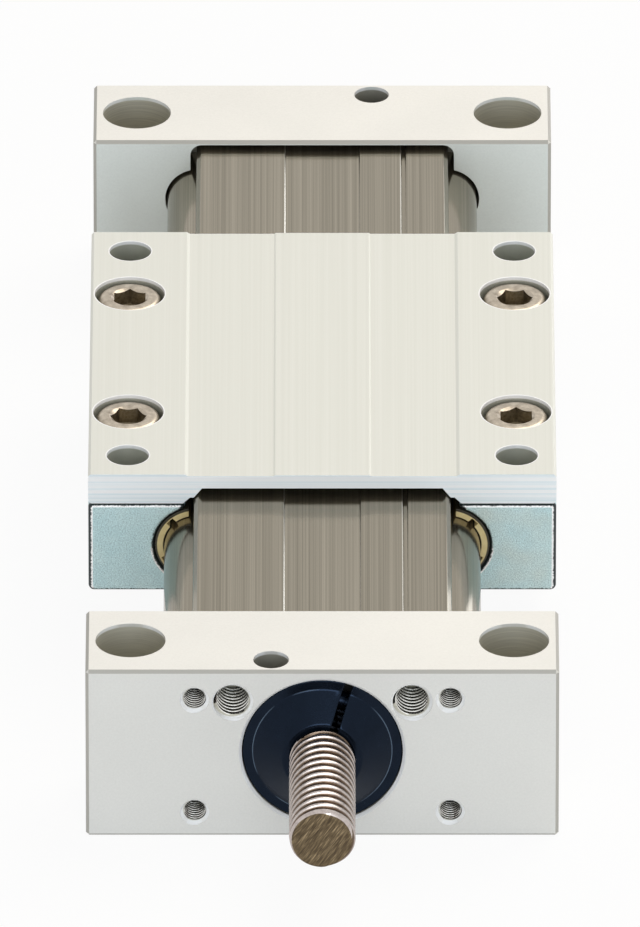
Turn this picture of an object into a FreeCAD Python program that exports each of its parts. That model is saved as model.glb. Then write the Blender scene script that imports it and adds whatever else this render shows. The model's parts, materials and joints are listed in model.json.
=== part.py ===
import FreeCAD, Part
import math
import os
from FreeCAD import Placement, Rotation, Vector

# Linear slide module. Two end blocks carry an inverted double-round rail and a lead screw,
# and the screw drives a carriage that hangs on the rail by four lined bearing housings.
# Millimetres. X runs across, Y along the rail with the drive end at -Y, Z up from the underside.

# Stroke
TRAVEL = 75.0
STOP_GAP = 0.5            # left between carriage and end block at each end of the stroke
REST_SHIFT = 2.5          # carriage centre behind mid-stroke in the modelled position

# Lead screw, Tr10 x 2, with its two clamp rings
SCREW_Z = 15.0            # axis above the underside
SCREW_R = 5.0
SCREW_CHAMFER = 0.6
RUN_CLEAR = 0.06          # radial play of the screw in bushes and nut
DRIVE_R = 5.2             # free drive end, a little thicker than the screw
DRIVE_LENGTH = 26.0       # drive end in front of its clamp ring
TAIL_LENGTH = 1.0         # screw end behind the rear clamp ring
RING_R = 12.5
RING_WIDTH = 10.0
RING_PROUD = 2.3          # hub standing out of the end block
RING_HUB_R = 6.2          # flat front of the hub
RING_RIM_R = 10.9         # where the sloping face meets the flat rim
RING_RIM_BACK = 2.9       # rim behind the hub's front
RING_PLAY = 0.1           # radial gap to the recess
RECESS_CHAMFER = 0.45     # mouth of the ring's recess
RING_AXIAL_PLAY = 0.1     # gap to the bush and to the drive end
RING_GRIP = 0.02          # gap of the closed ring on the screw
SLIT_WIDTH = 1.3
SLIT_ANGLE = 20.0         # slit clockwise from upright, seen from outside
RING_SCREW_OFFSET = 8.0   # clamp screw from the screw axis
RING_SCREW_SEAT = 2.9     # head seat from the slit plane
RING_SCREW_REACH = 5.5    # threaded depth beyond the slit plane

# Plain bushes for the screw
BUSH_R = 6.0
BUSH_PROUD = 1.0          # thrust face standing out of the recess floor
SEAT_GAP = 0.02           # between parts that are pressed or screwed together

# Guide rail
ROUND_R = 5.0
ROUND_SPACING = 40.0
ROUND_RISE = 4.0          # rail rounds above the screw axis
WEB_RISE = 9.0            # web top above the centres of the rounds
WEB_THICK = 4.0
WEB_OVERHANG = 0.3        # web sides outside the centres of the rounds
WEB_CHAMFER = 0.7
CHANNEL_FILLET = 2.5
BAND_WIDTH = 12.0         # shallow band along the web's middle
BAND_DEPTH = 0.25
LINE_X = 13.1             # reference groove
LINE_WIDTH = 0.7
LINE_DEPTH = 0.4

# End blocks
BLOCK_THICK = 20.0
BLOCK_CHAMFER = 0.5
BLOCK_ROOF = 0.7          # metal left over the rail pocket
SIDE_REACH = 17.0         # outer sides from the centres of the rounds
MOUNT_EDGE = 7.0          # base fixing holes from the block's sides
MOUNT_HOLE_R = 3.3
MOUNT_HEAD_R = 5.5
MOUNT_HEAD_DEPTH = 7.0
POCKET_DEPTH = 7.0
POCKET_ROUND_GAP = 0.4    # round the rail rounds
POCKET_WEB_GAP = 0.8      # over the web
POCKET_SIDE_GAP = 1.0     # beside the web
POCKET_CORNER = 1.8
FLANGE_X = 40.0           # small threaded holes in the outer face
FLANGE_Z = 20.0
FLANGE_DROP = 0.7         # their centre below the screw axis
FLANGE_CORE_R = 1.65
FLANGE_DEPTH = 9.0
STUD_X = 28.0             # large threaded holes in the outer face
STUD_RISE = 8.9           # above the screw axis
STUD_CORE_R = 2.5
STUD_DEPTH = 10.0
ACCESS_R = 2.8            # key hole over the clamp ring's screw
ACCESS_INSET = 3.7        # from the outer face

# Bearing housings with their glide liners
HOUSING_LENGTH = 28.0
HOUSING_FILLET = 0.9
LINER_WALL = 1.4
GLIDE_CLEAR = 0.08        # liner on rail round
TOP_WALL = 1.0
BOTTOM_WALL = 1.75
INNER_WALL = 1.5
LIP_GAP = 1.4             # upper lip to the web's side
LIP_DROP = 1.3            # lower lip under the centre of the round
LINER_GAP = 0.8           # liner's upper end to the web's side
LINER_DROP = 0.9          # liner's lower end under the centre of the round
LINER_INSET = 0.3
GROOVE_ANGLES = (45.0, -30.0, -105.0)   # dirt grooves, from the outward direction
GROOVE_WIDTH = 1.3
GROOVE_DEPTH = 0.8

# Carriage plate
PLATE_LENGTH = 82.0
PLATE_THICK = 5.2
PLATE_EDGE = 0.4
STRIP_X = 21.2            # outer strips begin
MIDDLE_X = 7.7            # middle strip ends
STRIP_STEP = 0.3          # recessed strips under the outer strips
MIDDLE_STEP = 0.15
STRIP_RUN = 0.5           # slope between recessed and outer strips
MIDDLE_RUN = 0.25         # slope between recessed and middle strips
ARCH_DEPTH = 2.7          # hollow under the plate's middle
ARCH_X = 19.0             # its flat ceiling ends
LEDGE_DEPTH = 1.06        # ledge in the hollow's flank
LEDGE_WIDTH = 0.6
LEDGE_RUN = 1.1
FLANK_RUN = 1.3
HOLE_X = 61.5             # plate holes, across
LOAD_INSET = 6.5          # load holes from the plate's ends
CLAMP_INSET = 21.0        # clamp screws from the plate's ends
LOAD_HOLE_R = 3.35
LOAD_CORE_R = 2.5         # thread for the load screws in the housings
LOAD_DEPTH = 11.0
CLAMP_HOLE_R = 3.2
CLAMP_HEAD_R = 5.6
CLAMP_HEAD_DEPTH = 4.2

# Nut carrier and lead nut
CARRIER_END = 6.0         # beyond the clamp screws
CARRIER_SIDE_INSET = 1.0
CARRIER_CHAMFER = 1.0
CARRIER_FLOOR = 3.4
BOSS_SIDE_GAP = 1.5
BOSS_TOP_GAP = 0.8
BOSS_CHAMFER = 1.8
BOSS_END_GAP = 0.5        # boss and nut screws to the housings
NUT_R = 7.0
NUT_FLANGE_R = 13.0
NUT_FLANGE = 5.0
NUT_FLAT = 7.6            # flange flats above and below the axis
NUT_TROUGH_GAP = 0.5      # flange to the carrier's trough
NUT_SCREW_X = 9.8
NUT_SCREW_REACH = 8.0

# Cap screws: shank radius, head radius, head height
M6_LOW = (3.0, 5.0, 3.6)
M3_CAP = (1.5, 2.75, 3.0)
KEY_WIDTH = 5.0           # hexagon sockets of the plate screws
KEY_DEPTH = 2.4
HEAD_PLAY = 0.25          # head in its counterbore
SHANK_PLAY = 0.2          # shank in its clearance hole
KEY_TURNS = {"front_left": 0.0, "front_right": 30.0, "rear_left": 30.0, "rear_right": 0.0}

# Worked out from the above
HALF_INNER = PLATE_LENGTH / 2 + TRAVEL / 2 + STOP_GAP
HALF_BODY = HALF_INNER + BLOCK_THICK
ROUND_X = ROUND_SPACING / 2
ROUND_Z = SCREW_Z + ROUND_RISE
HALF_WIDTH = ROUND_X + SIDE_REACH
WEB_TOP = ROUND_Z + WEB_RISE
WEB_UNDER = WEB_TOP - WEB_THICK
WEB_X = ROUND_X + WEB_OVERHANG
LEG_X = ROUND_X - ROUND_R
BLOCK_HEIGHT = WEB_TOP + POCKET_WEB_GAP + BLOCK_ROOF
MOUNT_X = HALF_WIDTH - MOUNT_EDGE
RECESS_DEPTH = RING_WIDTH + RING_AXIAL_PLAY + BUSH_PROUD - RING_PROUD
BORE_R = ROUND_R + GLIDE_CLEAR + LINER_WALL + SEAT_GAP
HOUSING_TOP = ROUND_Z + BORE_R + TOP_WALL
HOUSING_UNDER = ROUND_Z - BORE_R - BOTTOM_WALL
HALF_PLATE = PLATE_LENGTH / 2
LOAD_Y = PLATE_LENGTH - 2 * LOAD_INSET
CLAMP_Y = PLATE_LENGTH - 2 * CLAMP_INSET
CARRIER_LENGTH = CLAMP_Y + 2 * CARRIER_END
PLATE_TOP = HOUSING_TOP + PLATE_THICK
MIDDLE_GAP = PLATE_LENGTH - 2 * HOUSING_LENGTH
NUT_HEADS = -MIDDLE_GAP / 2 + BOSS_END_GAP
BOSS_FRONT = NUT_HEADS + M3_CAP[2] + NUT_FLANGE
BOSS_REAR = MIDDLE_GAP / 2 - BOSS_END_GAP
TROUGH_X = NUT_FLANGE_R + NUT_TROUGH_GAP
TROUGH_Z = SCREW_Z - NUT_FLAT - NUT_TROUGH_GAP
FAR = 2 * (HALF_BODY + DRIVE_LENGTH)      # longer than any piece, for open cuts

ORIGIN = Vector(0, 0, 0)
X_AXIS = Vector(1, 0, 0)
Y_AXIS = Vector(0, 1, 0)
Z_AXIS = Vector(0, 0, 1)


def rod_y(radius, x, z, y0, y1):
    """Cylinder along Y."""
    return Part.makeCylinder(radius, y1 - y0, Vector(x, y0, z), Y_AXIS)


def rod_z(radius, x, y, z0, z1):
    """Cylinder along Z."""
    return Part.makeCylinder(radius, z1 - z0, Vector(x, y, z0), Z_AXIS)


def box(x0, x1, y0, y1, z0, z1):
    """Box between opposite corners."""
    return Part.makeBox(x1 - x0, y1 - y0, z1 - z0, Vector(x0, y0, z0))


def prism_y(outline, y0, y1):
    """Solid of an (x, z) outline along Y."""
    points = [Vector(x, y0, z) for x, z in outline]
    return Part.Face(Part.makePolygon(points + points[:1])).extrude(Vector(0, y1 - y0, 0))


def turned(outline):
    """Solid turned about the Y axis from an (r, y) outline."""
    points = [Vector(r, y, 0) for r, y in outline]
    return Part.Face(Part.makePolygon(points + points[:1])).revolve(ORIGIN, Y_AXIS, 360)


def edges_along_y(shape, places):
    """Straight edges of a prism through the given (x, z) places of its section."""
    found = []
    for edge in shape.Edges:
        middle = edge.CenterOfMass
        along = abs(edge.tangentAt(edge.FirstParameter).y) > 0.99
        if along and any(math.hypot(middle.x - x, middle.z - z) < 0.01 for x, z in places):
            found.append(edge)
    return found


def placed(shape, position, rotation=Rotation()):
    """Copy of a shape at a place."""
    copy = shape.copy()
    copy.Placement = Placement(position, rotation).multiply(copy.Placement)
    return copy


def mirrored(shape, left, rear):
    """Copy of a front right piece at one of the four corners."""
    if left:
        shape = shape.mirror(ORIGIN, X_AXIS)
    if rear:
        shape = shape.mirror(ORIGIN, Y_AXIS)
    return shape


def cap_screw(size, length):
    """Cap screw with its head seat at the origin, pointing down."""
    shank_r, head_r, head_height = size
    return rod_z(head_r, 0, 0, 0, head_height).fuse(rod_z(shank_r, 0, 0, -length, 0))


def hex_socket(top, turn):
    """Cutter for a hexagon socket below a screw's top."""
    corner = KEY_WIDTH / math.sqrt(3)
    angles = [math.radians(turn + 60 * k) for k in range(7)]
    key = [Vector(corner * math.cos(a), corner * math.sin(a), top - KEY_DEPTH) for a in angles]
    return Part.Face(Part.makePolygon(key)).extrude(Vector(0, 0, KEY_DEPTH))


def rail_outline():
    """Closed section of the rail: web, legs and rounds."""
    def point(x, z):
        return Vector(x, 0, z)

    def on_round(angle):
        return point(ROUND_X + ROUND_R * math.cos(angle), ROUND_Z + ROUND_R * math.sin(angle))

    start = math.acos(WEB_OVERHANG / ROUND_R)
    arc_mid = (start - math.pi) / 2
    half = CHANNEL_FILLET * (1 - math.sqrt(0.5))
    path = [point(0, WEB_TOP), point(WEB_X - WEB_CHAMFER, WEB_TOP),
            point(WEB_X, WEB_TOP - WEB_CHAMFER), on_round(start)]
    edges = [Part.makeLine(a, b) for a, b in zip(path, path[1:])]
    edges.append(Part.Arc(path[-1], on_round(arc_mid), on_round(-math.pi)).toShape())
    leg_end = point(LEG_X, WEB_UNDER - CHANNEL_FILLET)
    web_start = point(LEG_X - CHANNEL_FILLET, WEB_UNDER)
    edges.append(Part.makeLine(on_round(-math.pi), leg_end))
    edges.append(Part.Arc(leg_end, point(LEG_X - half, WEB_UNDER - half), web_start).toShape())
    edges.append(Part.makeLine(web_start, point(0, WEB_UNDER)))
    edges += [edge.mirror(ORIGIN, X_AXIS) for edge in edges]
    return Part.Face(Part.Wire(Part.__sortEdges__(edges)))


def guide_rail():
    half = HALF_INNER + POCKET_DEPTH
    rail = rail_outline().extrude(Vector(0, 2 * half, 0))
    rail.translate(Vector(0, -half, 0))
    cuts = [box(-BAND_WIDTH / 2, BAND_WIDTH / 2, -half, half, WEB_TOP - BAND_DEPTH, WEB_TOP),
            box(LINE_X - LINE_WIDTH / 2, LINE_X + LINE_WIDTH / 2, -half, half,
                WEB_TOP - LINE_DEPTH, WEB_TOP)]
    return rail.cut(Part.makeCompound(cuts)).removeSplitter()


def rail_pocket():
    """Cutter for the blind pocket that holds the rail's end."""
    y0, y1 = BLOCK_THICK - POCKET_DEPTH, BLOCK_THICK
    side = WEB_X + POCKET_SIDE_GAP
    roof = WEB_TOP + POCKET_WEB_GAP
    pocket = box(-side, side, y0, y1, WEB_UNDER, roof)
    pocket = pocket.makeFillet(POCKET_CORNER, edges_along_y(pocket, [(-side, roof), (side, roof)]))
    for x in (-ROUND_X, ROUND_X):
        inner = math.copysign(LEG_X - CHANNEL_FILLET, x)
        outer = math.copysign(side, x)
        pocket = pocket.fuse(box(min(inner, outer), max(inner, outer), y0, y1, ROUND_Z, WEB_UNDER))
        pocket = pocket.fuse(rod_y(ROUND_R + POCKET_ROUND_GAP, x, ROUND_Z, y0, y1))
    return pocket


def end_block():
    """Front block with its outer face at y = 0."""
    block = box(-HALF_WIDTH, HALF_WIDTH, 0, BLOCK_THICK, 0, BLOCK_HEIGHT)
    block = block.makeChamfer(BLOCK_CHAMFER, block.Edges)
    recess_r = RING_R + RING_PLAY
    mouth = turned([(0, 0), (recess_r + RECESS_CHAMFER, 0), (recess_r, RECESS_CHAMFER), (0, RECESS_CHAMFER)])
    cuts = [rod_y(recess_r, 0, SCREW_Z, 0, RECESS_DEPTH),
            placed(mouth, Vector(0, 0, SCREW_Z)),
            rod_y(BUSH_R, 0, SCREW_Z, RECESS_DEPTH, BLOCK_THICK),
            rod_z(ACCESS_R, -RING_SCREW_OFFSET, ACCESS_INSET, SCREW_Z, BLOCK_HEIGHT),
            rail_pocket()]
    for x in (-MOUNT_X, MOUNT_X):
        y = BLOCK_THICK / 2
        cuts.append(rod_z(MOUNT_HOLE_R, x, y, 0, BLOCK_HEIGHT))
        cuts.append(rod_z(MOUNT_HEAD_R, x, y, BLOCK_HEIGHT - MOUNT_HEAD_DEPTH, BLOCK_HEIGHT))
    threads = [(x * FLANGE_X / 2, SCREW_Z - FLANGE_DROP + z * FLANGE_Z / 2, FLANGE_CORE_R, FLANGE_DEPTH)
               for x in (-1, 1) for z in (-1, 1)]
    threads += [(x * STUD_X / 2, SCREW_Z + STUD_RISE, STUD_CORE_R, STUD_DEPTH) for x in (-1, 1)]
    cuts += [rod_y(radius, x, z, 0, depth) for x, z, radius, depth in threads]
    for cut in cuts:
        block = block.cut(cut)
    return block.removeSplitter()


def screw_bush():
    """Plain bush of the front block, with its thrust face towards the clamp ring."""
    bore = SCREW_R + RUN_CLEAR
    body_r = BUSH_R - SEAT_GAP
    start = RECESS_DEPTH - BUSH_PROUD
    bush = turned([(bore, start), (body_r, start), (body_r, BLOCK_THICK), (bore, BLOCK_THICK)])
    return placed(bush, Vector(0, 0, SCREW_Z))


def ring_screw_line(radius, start, end):
    """Cylinder on the clamp screw's line, measured from the slit plane."""
    y = RING_PROUD + ACCESS_INSET
    return Part.makeCylinder(radius, end - start, Vector(start, y, RING_SCREW_OFFSET), X_AXIS)


def at_ring(shape):
    """Ring pieces, modelled with the slit upright, turned to their place on the screw."""
    return placed(shape, Vector(0, -RING_PROUD, SCREW_Z), Rotation(Y_AXIS, SLIT_ANGLE))


def clamp_ring():
    bore = SCREW_R + RING_GRIP
    ring = turned([(bore, 0), (RING_HUB_R, 0), (RING_RIM_R, RING_RIM_BACK), (RING_R, RING_RIM_BACK),
                   (RING_R, RING_WIDTH), (bore, RING_WIDTH)])
    ring = ring.cut(box(-SLIT_WIDTH / 2, SLIT_WIDTH / 2, 0, RING_WIDTH, 0, RING_R))
    ring = ring.cut(ring_screw_line(M3_CAP[0] + SEAT_GAP, -RING_SCREW_REACH, RING_SCREW_SEAT))
    ring = ring.cut(ring_screw_line(M3_CAP[1] + HEAD_PLAY, RING_SCREW_SEAT, RING_R))
    return at_ring(ring)


def ring_screw():
    screw = cap_screw(M3_CAP, RING_SCREW_SEAT + RING_SCREW_REACH - STOP_GAP)
    seat = Vector(RING_SCREW_SEAT, RING_PROUD + ACCESS_INSET, RING_SCREW_OFFSET)
    return at_ring(placed(screw, seat, Rotation(Y_AXIS, 90)))


def lead_screw():
    """Screw at its thread's outer diameter, with a free drive end in front."""
    front = -HALF_BODY - RING_PROUD
    step = front - RING_AXIAL_PLAY
    tip = front - DRIVE_LENGTH
    tail = HALF_BODY + RING_PROUD + TAIL_LENGTH
    screw = turned([(0, tip), (DRIVE_R - SCREW_CHAMFER, tip), (DRIVE_R, tip + SCREW_CHAMFER),
                    (DRIVE_R, step), (SCREW_R, step), (SCREW_R, tail - SCREW_CHAMFER),
                    (SCREW_R - SCREW_CHAMFER, tail), (0, tail)])
    return placed(screw, Vector(0, 0, SCREW_Z))


def plate_outline():
    """Closed section of the carriage plate: stepped top, hollow underside."""
    side = HALF_WIDTH
    arch = HOUSING_TOP + ARCH_DEPTH
    ledge = HOUSING_TOP + LEDGE_DEPTH
    ledge_in = ARCH_X + FLANK_RUN
    ledge_out = ledge_in + LEDGE_WIDTH
    right = [(MIDDLE_X - MIDDLE_RUN, PLATE_TOP - MIDDLE_STEP), (MIDDLE_X, PLATE_TOP - STRIP_STEP),
             (STRIP_X, PLATE_TOP - STRIP_STEP), (STRIP_X + STRIP_RUN, PLATE_TOP),
             (side - PLATE_EDGE, PLATE_TOP), (side, PLATE_TOP - PLATE_EDGE),
             (side, HOUSING_TOP + PLATE_EDGE), (side - PLATE_EDGE, HOUSING_TOP),
             (ledge_out + LEDGE_RUN, HOUSING_TOP), (ledge_out, ledge), (ledge_in, ledge), (ARCH_X, arch)]
    return right + [(-x, z) for x, z in reversed(right)]


def carriage_plate():
    plate = prism_y(plate_outline(), -HALF_PLATE, HALF_PLATE)
    for x in (-HOLE_X / 2, HOLE_X / 2):
        for y in (-LOAD_Y / 2, LOAD_Y / 2):
            plate = plate.cut(rod_z(LOAD_HOLE_R, x, y, HOUSING_TOP, PLATE_TOP))
        for y in (-CLAMP_Y / 2, CLAMP_Y / 2):
            plate = plate.cut(rod_z(CLAMP_HOLE_R, x, y, HOUSING_TOP, PLATE_TOP))
            plate = plate.cut(rod_z(CLAMP_HEAD_R, x, y, PLATE_TOP - CLAMP_HEAD_DEPTH, PLATE_TOP))
    return plate


def clamp_screw(turn):
    """Front right plate screw, through plate and housing into the nut carrier."""
    seat = PLATE_TOP - CLAMP_HEAD_DEPTH
    length = seat - (TROUGH_Z - CARRIER_FLOOR) - CARRIER_CHAMFER
    screw = cap_screw(M6_LOW, length).cut(hex_socket(M6_LOW[2], turn))
    return placed(screw, Vector(HOLE_X / 2, -CLAMP_Y / 2, seat))


def bearing_housing():
    """Front right housing, open towards the rail's leg and web."""
    y0, y1 = -HALF_PLATE, -HALF_PLATE + HOUSING_LENGTH
    inner = ROUND_X - BORE_R - INNER_WALL
    lip_x = WEB_X + LIP_GAP
    lip_z = ROUND_Z - LIP_DROP
    corners = [(HALF_WIDTH, HOUSING_TOP), (HALF_WIDTH, HOUSING_UNDER), (inner, HOUSING_UNDER)]
    housing = prism_y([(lip_x, HOUSING_TOP)] + corners + [(inner, lip_z), (lip_x, lip_z)], y0, y1)
    housing = housing.makeFillet(HOUSING_FILLET, edges_along_y(housing, corners))
    cuts = [rod_y(BORE_R, ROUND_X, ROUND_Z, y0, y1),
            rod_z(M6_LOW[0] + SHANK_PLAY, HOLE_X / 2, -CLAMP_Y / 2, HOUSING_UNDER, HOUSING_TOP),
            rod_z(LOAD_CORE_R, HOLE_X / 2, -LOAD_Y / 2, HOUSING_TOP - LOAD_DEPTH, HOUSING_TOP)]
    for cut in cuts:
        housing = housing.cut(cut)
    return housing


def glide_liner():
    """Front right liner: an open sleeve with dirt grooves."""
    y0 = -HALF_PLATE + LINER_INSET
    y1 = -HALF_PLATE + HOUSING_LENGTH - LINER_INSET
    outer_r = BORE_R - SEAT_GAP
    inner_r = ROUND_R + GLIDE_CLEAR
    sleeve = rod_y(outer_r, ROUND_X, ROUND_Z, y0, y1).cut(rod_y(inner_r, ROUND_X, ROUND_Z, y0, y1))
    open_x = WEB_X + LINER_GAP
    open_z = ROUND_Z - LINER_DROP
    sleeve = sleeve.cut(box(ROUND_X - 2 * outer_r, open_x, y0, y1, open_z, ROUND_Z + 2 * outer_r))
    half = GROOVE_WIDTH / 2
    for angle in GROOVE_ANGLES:
        groove = box(0, inner_r + GROOVE_DEPTH, y0, y1, -half, half)
        sleeve = sleeve.cut(placed(groove, Vector(ROUND_X, 0, ROUND_Z), Rotation(Y_AXIS, -angle)))
    return sleeve


def nut_carrier():
    """Cradle under the rail: two wings under the housings and a boss round the nut."""
    side = HALF_WIDTH - CARRIER_SIDE_INSET
    under = TROUGH_Z - CARRIER_FLOOR
    right = [(TROUGH_X, TROUGH_Z), (TROUGH_X, HOUSING_UNDER), (side, HOUSING_UNDER),
             (side, under + CARRIER_CHAMFER), (side - CARRIER_CHAMFER, under)]
    outline = right + [(-x, z) for x, z in reversed(right)]
    carrier = prism_y(outline, -CARRIER_LENGTH / 2, CARRIER_LENGTH / 2)
    boss_x = LEG_X - BOSS_SIDE_GAP
    boss_top = WEB_UNDER - BOSS_TOP_GAP
    right = [(boss_x, under), (boss_x, boss_top - BOSS_CHAMFER), (boss_x - BOSS_CHAMFER, boss_top)]
    boss = prism_y(right + [(-x, z) for x, z in reversed(right)], BOSS_FRONT, BOSS_REAR)
    carrier = carrier.fuse(boss).cut(rod_y(NUT_R, 0, SCREW_Z, BOSS_FRONT, BOSS_REAR))
    for x in (-NUT_SCREW_X, NUT_SCREW_X):
        carrier = carrier.cut(rod_y(M3_CAP[0] + SEAT_GAP, x, SCREW_Z, BOSS_FRONT,
                                    BOSS_FRONT + NUT_SCREW_REACH))
    for x in (-HOLE_X / 2, HOLE_X / 2):
        for y in (-CLAMP_Y / 2, CLAMP_Y / 2):
            carrier = carrier.cut(rod_z(M6_LOW[0] + SEAT_GAP, x, y, under, HOUSING_UNDER))
    return carrier.removeSplitter()


def lead_nut():
    """Flanged nut with two flats, in the carrier's boss."""
    front = BOSS_FRONT - NUT_FLANGE
    flange = rod_y(NUT_FLANGE_R, 0, SCREW_Z, front, BOSS_FRONT)
    flange = flange.common(box(-FAR, FAR, front, BOSS_FRONT, SCREW_Z - NUT_FLAT, SCREW_Z + NUT_FLAT))
    nut = flange.fuse(rod_y(NUT_R - SEAT_GAP, 0, SCREW_Z, BOSS_FRONT, BOSS_REAR))
    nut = nut.cut(rod_y(SCREW_R + RUN_CLEAR, 0, SCREW_Z, front, BOSS_REAR))
    for x in (-NUT_SCREW_X, NUT_SCREW_X):
        nut = nut.cut(rod_y(M3_CAP[0] + SHANK_PLAY, x, SCREW_Z, front, BOSS_FRONT))
    return nut.removeSplitter()


def nut_screws():
    screw = cap_screw(M3_CAP, NUT_FLANGE + NUT_SCREW_REACH - STOP_GAP)
    inward = Rotation(X_AXIS, 90)
    return Part.makeCompound([placed(screw, Vector(x, BOSS_FRONT - NUT_FLANGE, SCREW_Z), inward)
                              for x in (-NUT_SCREW_X, NUT_SCREW_X)])


def end_nodes():
    """Pieces that both ends have, the rear set turned half round."""
    pieces = {"end_block": end_block(), "screw_bush": screw_bush(), "clamp_ring": clamp_ring(),
              "ring_screw": ring_screw()}
    ends = {"front": (Vector(0, -HALF_BODY, 0), Rotation()),
            "rear": (Vector(0, HALF_BODY, 0), Rotation(Z_AXIS, 180))}
    return {end + "_" + name: placed(shape, *place)
            for end, place in ends.items() for name, shape in pieces.items()}


def carriage_nodes():
    """Everything that slides, moved to the modelled position."""
    nodes = {"carriage_plate": carriage_plate(), "nut_carrier": nut_carrier(),
             "lead_nut": lead_nut(), "nut_screws": nut_screws()}
    housing, liner = bearing_housing(), glide_liner()
    for corner, turn in KEY_TURNS.items():
        left, rear = "left" in corner, "rear" in corner
        nodes["bearing_housing_" + corner] = mirrored(housing, left, rear)
        nodes["glide_liner_" + corner] = mirrored(liner, left, rear)
        nodes["plate_screw_" + corner] = mirrored(clamp_screw(turn), left, rear)
    return {name: placed(shape, Vector(0, REST_SHIFT, 0)) for name, shape in nodes.items()}


def main():
    nodes = {"guide_rail": guide_rail(), "lead_screw": lead_screw()}
    nodes.update(end_nodes())
    nodes.update(carriage_nodes())
    os.makedirs("parts", exist_ok=True)
    for name, shape in nodes.items():
        shape.exportStep("parts/" + name + ".step")
        print(name, len(shape.Solids), "solids", round(shape.Volume), "mm3", shape.isValid())


main()
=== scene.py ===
# %% [markdown]
# # A lead-screw slide module, dressed in Blender
# The slide is a machine part: two aluminium end blocks hold a drawn rail and a threaded screw, and a
# carriage glides along the rail on four lined housings. The solids come from the CAD model, in metres
# and already in place. This lesson gives them their finishes, cuts the threads that the solids leave
# plain, and lights them.

# %% Load the frame
import bmesh
import bpy
import json
import math
from mathutils import Matrix, Vector


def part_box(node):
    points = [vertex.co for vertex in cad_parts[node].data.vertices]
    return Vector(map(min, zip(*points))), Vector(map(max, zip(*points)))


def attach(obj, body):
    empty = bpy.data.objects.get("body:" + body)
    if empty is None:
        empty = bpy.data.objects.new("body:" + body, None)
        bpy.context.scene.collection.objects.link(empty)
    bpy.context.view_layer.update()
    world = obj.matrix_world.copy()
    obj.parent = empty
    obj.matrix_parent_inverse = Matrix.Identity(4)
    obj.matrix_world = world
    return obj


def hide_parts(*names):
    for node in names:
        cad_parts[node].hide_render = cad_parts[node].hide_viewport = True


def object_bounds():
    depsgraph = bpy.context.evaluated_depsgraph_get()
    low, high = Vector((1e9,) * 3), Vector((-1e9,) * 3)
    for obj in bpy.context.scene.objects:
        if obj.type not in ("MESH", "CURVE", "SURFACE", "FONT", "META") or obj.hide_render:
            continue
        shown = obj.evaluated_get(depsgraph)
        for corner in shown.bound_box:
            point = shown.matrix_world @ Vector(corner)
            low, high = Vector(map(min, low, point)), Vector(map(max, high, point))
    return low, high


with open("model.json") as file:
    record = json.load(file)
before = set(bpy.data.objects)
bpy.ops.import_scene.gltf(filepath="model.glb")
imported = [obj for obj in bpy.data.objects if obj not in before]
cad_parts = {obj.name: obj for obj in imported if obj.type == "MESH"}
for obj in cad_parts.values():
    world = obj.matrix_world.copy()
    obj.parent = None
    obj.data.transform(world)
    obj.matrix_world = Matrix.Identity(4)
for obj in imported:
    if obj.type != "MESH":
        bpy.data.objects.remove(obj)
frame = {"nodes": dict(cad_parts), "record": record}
CAD_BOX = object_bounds()
NODES = frame["nodes"]
MOUNTS = {m["name"]: m for m in frame["record"]["mounts"]}
MM = 0.001
ENDS = ("front", "rear")
CORNERS = ("front_left", "front_right", "rear_left", "rear_right")
print("loaded", len(NODES), "nodes, box", [tuple(round(v / MM, 1) for v in c) for c in CAD_BOX])

# %% [markdown]
# ## Small helpers for materials
# Colours are written as the sRGB hex values that a screen shows, and one function turns them into the
# linear values that the renderer works with. A second function adds a node to a material: plain values
# and colours are set on its sockets, and outputs of other nodes are linked. Every material starts the
# same way, from a Principled shader and the object's own coordinates, so that a pattern stays on its
# piece when the piece moves.

# %% Colour and node helpers
def linear(hex_colour):
    """Linear RGBA of an sRGB hex colour."""
    parts = [int(hex_colour[i:i + 2], 16) / 255 for i in (1, 3, 5)]
    return (*[c / 12.92 if c <= 0.04045 else ((c + 0.055) / 1.055) ** 2.4 for c in parts], 1.0)


def fill(tree, node, sockets):
    """Sets a node's sockets to values or hex colours, and links those that come from another node."""
    for name, value in sockets.items():
        if isinstance(value, bpy.types.NodeSocket):
            tree.links.new(value, node.inputs[name])
        else:
            node.inputs[name].default_value = linear(value) if isinstance(value, str) else value


def add(tree, kind, sockets, out=0, stops=(), **settings):
    """Adds a node with its settings and links, and returns one of its outputs, or all of them."""
    node = tree.nodes.new(kind)
    for name, value in settings.items():
        setattr(node, name, value)
    for index, (place, colour) in enumerate(stops):
        marks = node.color_ramp.elements
        mark = marks[index] if index < 2 else marks.new(place)
        mark.position, mark.color = place, linear(colour)
    fill(tree, node, sockets)
    return node.outputs if out is None else node.outputs[out]


COLOUR = {"out": 2, "data_type": "RGBA"}  # settings of a node that mixes two colours


def start_material(name, sockets):
    """New material: its node tree, its Principled shader and the object coordinates."""
    material = bpy.data.materials.new(name)
    material.use_nodes = True
    tree = material.node_tree
    shader = tree.nodes["Principled BSDF"]
    fill(tree, shader, sockets)
    return material, tree, shader, add(tree, "ShaderNodeTexCoord", {}, out="Object")


print("grey 50% is", round(linear("#808080")[0], 3), "in linear light")

# %% [markdown]
# ## Patterns that several finishes share
# Drawn and extruded metal carries fine streaks along its length, and blasted or cast metal a fine
# grain. A streak is a noise that is squeezed across the piece and stretched along it. A grain is the
# same noise, equal in all directions. Other patterns tell places apart: walls of bores lie deep inside
# a block's outline, chamfers lean between two axes, and on turned parts the distance from the axis says
# where a point is.

# %% Streaks, grain and places
SKIN = 0.5 * MM
SKIN_BLEND = 0.15 * MM


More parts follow.
